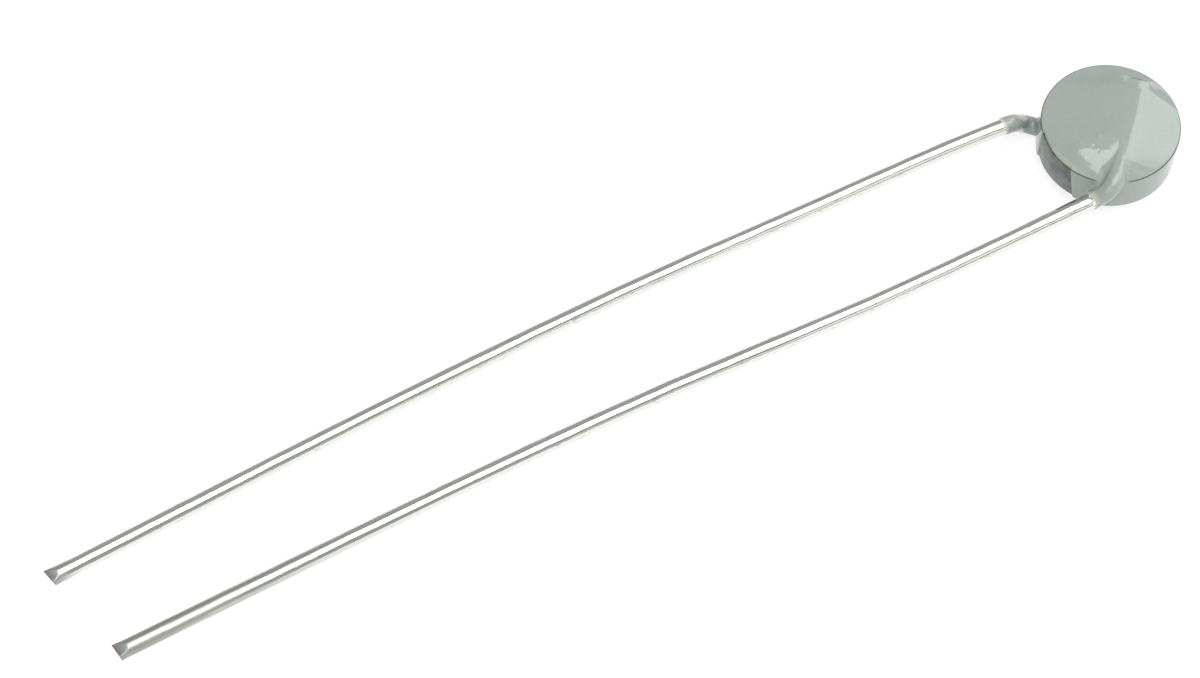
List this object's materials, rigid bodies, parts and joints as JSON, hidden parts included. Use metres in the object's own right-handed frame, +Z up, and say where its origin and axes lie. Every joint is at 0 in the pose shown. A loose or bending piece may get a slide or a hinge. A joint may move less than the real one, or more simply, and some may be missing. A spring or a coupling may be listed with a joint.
{
  "type": "disc thermistor",
  "caption": "Small lacquered disc thermistor with crossed wire leads, a resistor that falls in resistance as it warms.",
  "frame": {"origin": "centre of the whole part's box on the surface that it lies on, between the leads", "axes": "+X along the leads from their tips to the disc, +Z up out of the disc's front face"},
  "size_m": [0.0506, 0.0062, 0.0033],
  "materials": {
    "thermistor_ceramic": "sintered, matt",
    "fired_silver": "fired silver film",
    "solder": "soft solder",
    "tinned_wire": "tinned copper wire, drawn, fine streaks along it",
    "grey_lacquer": "dipped lacquer, glossy"
  },
  "bodies": {
    "root": {"ceramic_disc": "thermistor_ceramic", "electrode_front": "fired_silver", "electrode_rear": "fired_silver", "solder_front": "solder", "solder_rear": "solder", "lead_front": "tinned_wire", "lead_rear": "tinned_wire", "coating": "grey_lacquer"}
  },
  "joints": []
}
